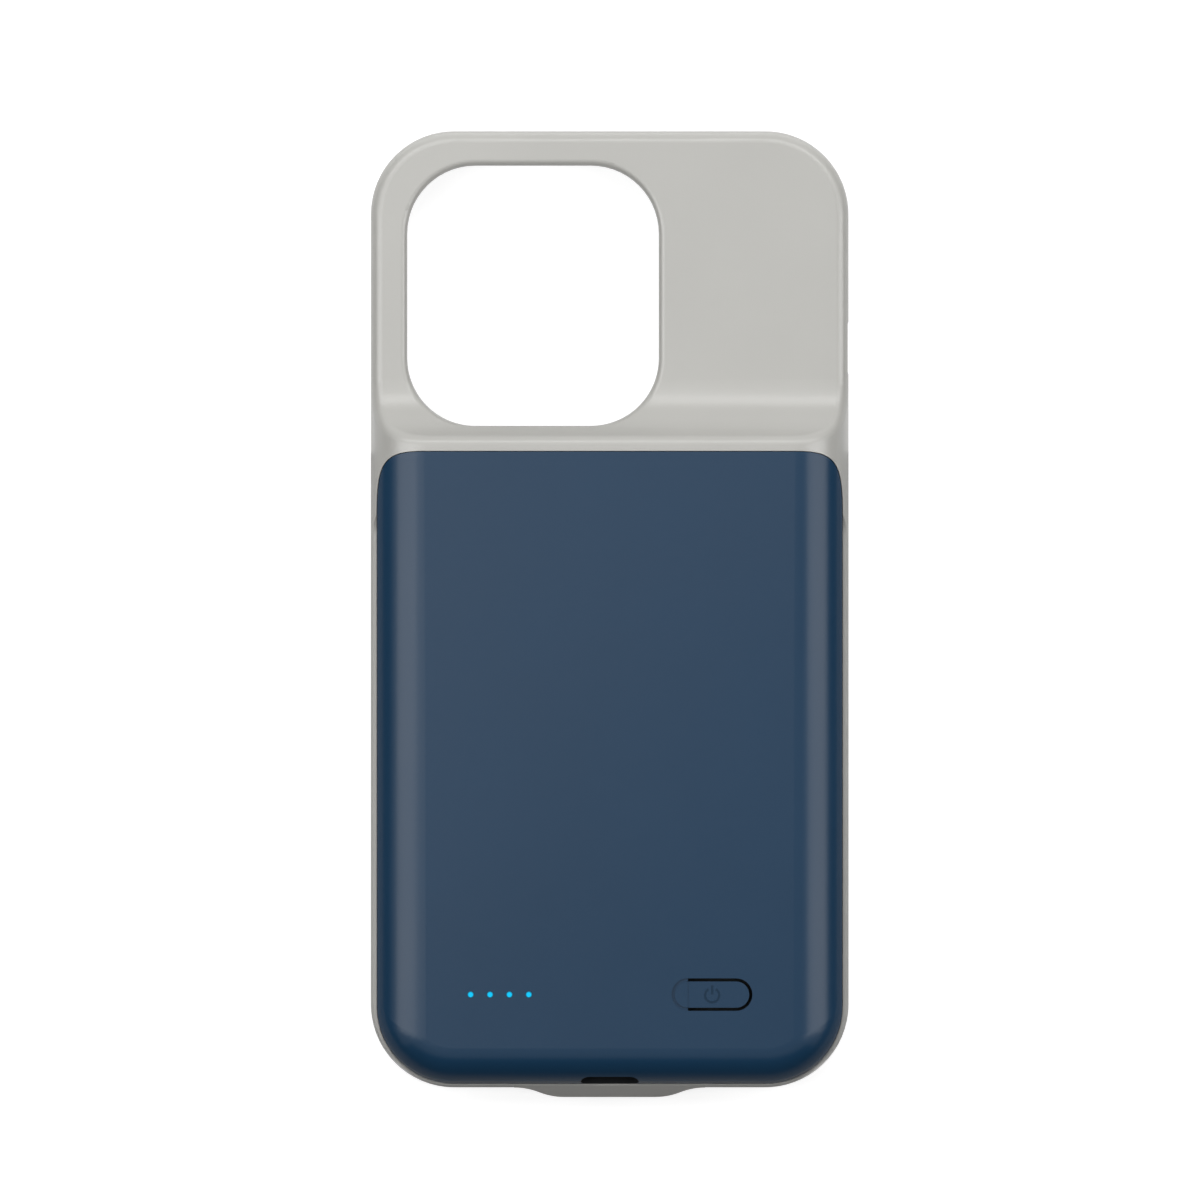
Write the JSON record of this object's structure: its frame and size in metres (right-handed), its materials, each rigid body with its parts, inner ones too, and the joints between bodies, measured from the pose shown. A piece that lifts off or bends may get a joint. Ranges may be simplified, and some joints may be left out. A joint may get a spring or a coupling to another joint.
{
  "type": "phone battery charging case",
  "caption": "Slim phone case with a raised rear battery cover, camera opening, press-tongue power button, lit charge dots and a charge socket in its lower end.",
  "frame": {"origin": "on the plane of the front lip, at the middle of the case's length with its chin, and of its width", "axes": "+X to the right seen from the back, +Y towards the phone's top, +Z out of the back"},
  "size_m": [0.076, 0.1538, 0.0172],
  "materials": {
    "grey_soft_plastic": "fine matte moulding",
    "blue_satin_plastic": "satin moulding",
    "tray_plastic": "matte moulding",
    "screw_steel": "plated",
    "cell_foil": "satin foil pouch",
    "tape": "adhesive tape",
    "circuit_board": "black solder mask",
    "red_insulation": "satin",
    "black_insulation": "satin",
    "connector_steel": "stamped steel",
    "socket_steel": "black plating",
    "black_plastic": "matte moulding",
    "inductor_ferrite": "pressed powder",
    "capacitor_ceramic": "fired ceramic",
    "led_package": "moulded package",
    "light_guide_plastic": "clear moulding, lit",
    "ribbon_film": "polyimide film",
    "socket_plastic": "moulded"
  },
  "bodies": {
    "case": {"phone_frame": "grey_soft_plastic", "battery_cover": "blue_satin_plastic", "inner_tray": "tray_plastic", "tray_screws": "screw_steel", "battery_cell": "cell_foil", "cell_tape": "tape", "protection_board": "circuit_board", "positive_lead": "red_insulation", "negative_lead": "black_insulation", "main_board": "circuit_board", "port_shell": "socket_steel", "port_tongue": "black_plastic", "controller_chip": "black_plastic", "boost_inductor": "inductor_ferrite", "board_capacitors": "capacitor_ceramic", "indicator_leds": "led_package", "light_guide": "light_guide_plastic", "switch_body": "black_plastic", "phone_plug": "connector_steel", "plug_core": "black_plastic", "plug_board": "circuit_board", "ribbon_cable": "ribbon_film", "ribbon_socket": "socket_plastic"},
    "button": {"power_button": "blue_satin_plastic"},
    "plunger": {"switch_plunger": "black_plastic"}
  },
  "joints": [
    {"name": "button_press", "type": "hinge", "parent": "case", "child": "button", "pos_m": [0.01242, -0.06035, 0.01645], "axis": [0, 1, 0], "range_deg": [0, 2.8], "stiffness_Nm_per_rad": 0.26},
    {"name": "plunger_press", "type": "slide", "parent": "case", "child": "plunger", "axis": [0, 0, -1], "range_m": [0, 0.00025]}
  ],
  "couplings": [
    {"joint": "plunger_press", "follows": "button_press", "m_per_rad": 0.00507}
  ]
}
